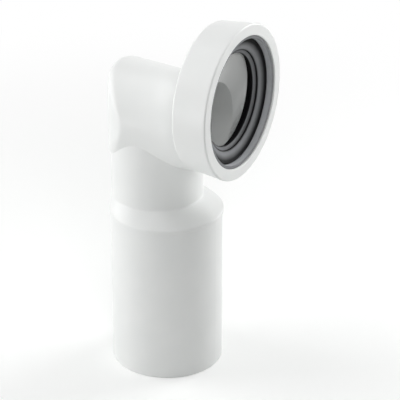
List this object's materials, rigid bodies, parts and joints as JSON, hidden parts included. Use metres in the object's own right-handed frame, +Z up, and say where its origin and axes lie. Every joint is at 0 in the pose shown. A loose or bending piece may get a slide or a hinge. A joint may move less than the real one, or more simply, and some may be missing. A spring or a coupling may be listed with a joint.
{
  "type": "toilet pan connector",
  "caption": "Right-angle toilet pan connector: a cup with a ringed rubber lip seal takes the pan's outlet, and a long plain spigot goes down into the soil pipe.",
  "frame": {"origin": "centre of the spigot's end face, on the spigot's axis", "axes": "+Z up along the spigot, +X the way the cup's mouth faces"},
  "size_m": [0.1404, 0.151, 0.3671],
  "materials": {
    "white_polypropylene": "moulded, semi-gloss white",
    "grey_rubber": "moulded, dull mid grey"
  },
  "bodies": {
    "root": {"connector_body": "white_polypropylene", "retaining_ring": "white_polypropylene", "inlet_seal": "grey_rubber"}
  },
  "joints": []
}
